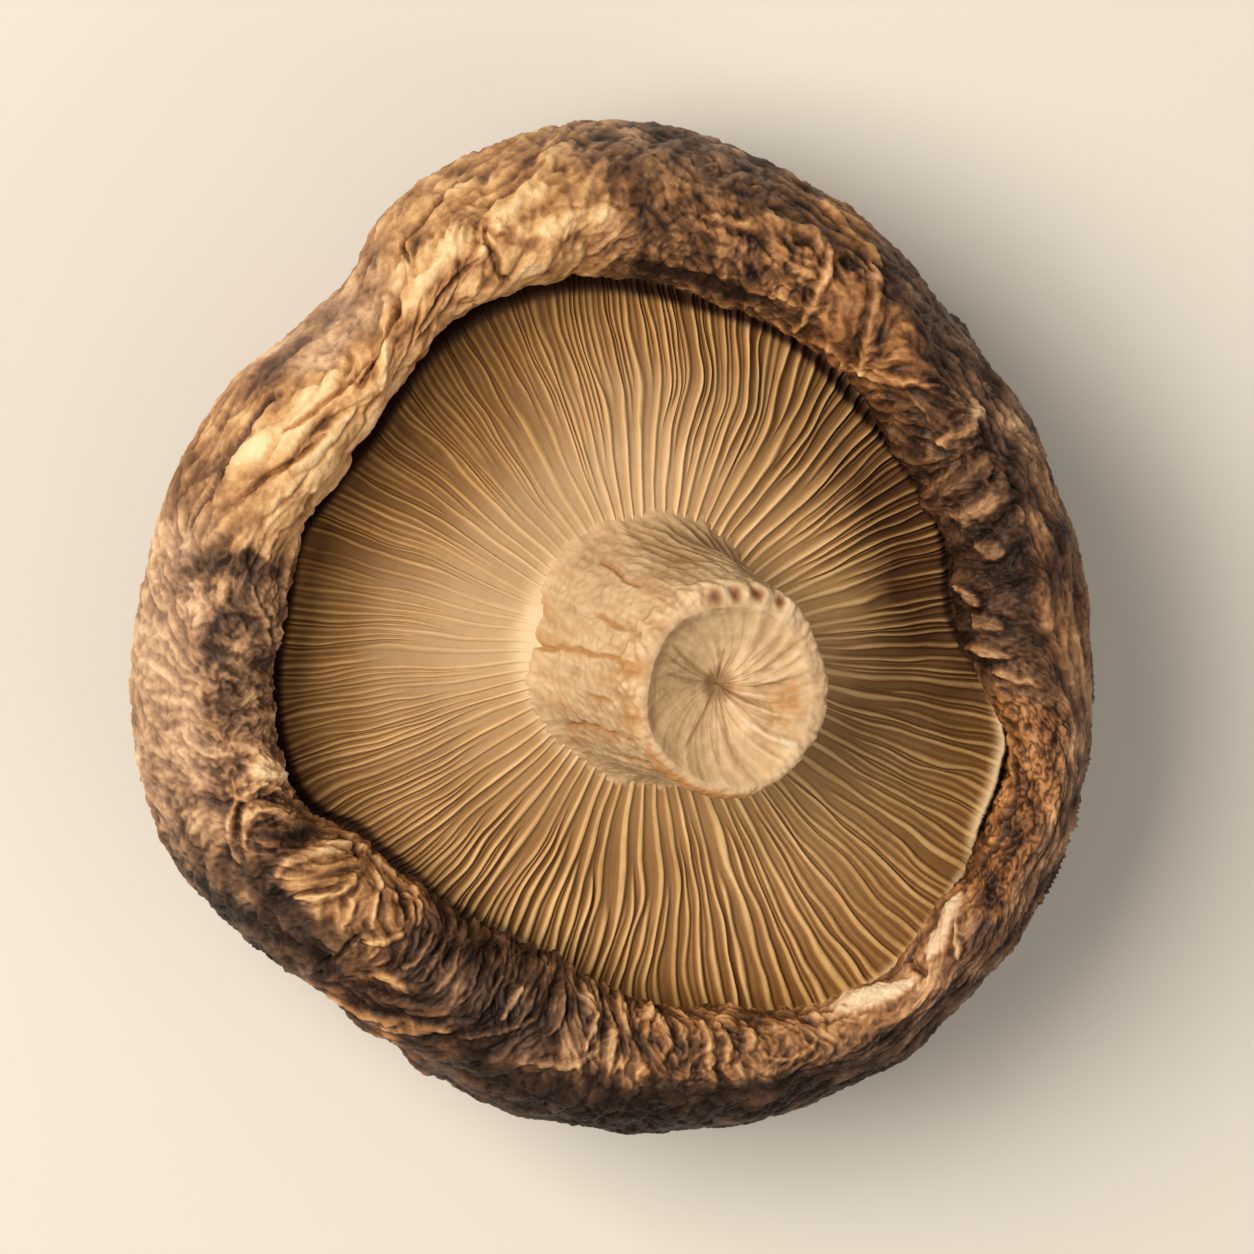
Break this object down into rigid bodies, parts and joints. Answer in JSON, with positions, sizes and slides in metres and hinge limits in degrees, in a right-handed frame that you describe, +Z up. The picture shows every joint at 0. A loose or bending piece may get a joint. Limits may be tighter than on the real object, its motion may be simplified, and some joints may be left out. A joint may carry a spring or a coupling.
{
  "type": "dried shiitake mushroom",
  "caption": "Dried mushroom with a cracked cap, an inrolled rim, fine radial gills and a short cut stem, lying on its crown.",
  "frame": {"origin": "middle of the small flat spot on the crown that the mushroom rests on", "axes": "+Z up, from the crown to the gills and the cut stem; +X the way the stem leans; +Y level, across it"},
  "size_m": [0.048, 0.0503, 0.0218],
  "materials": {
    "cap": "matte, wrinkled dried mushroom skin",
    "gills": "matte, thin dried gills",
    "stem": "matte, dried fibrous stem"
  },
  "bodies": {
    "root": {"cap": "cap", "gills": "gills", "stem": "stem"}
  },
  "joints": []
}
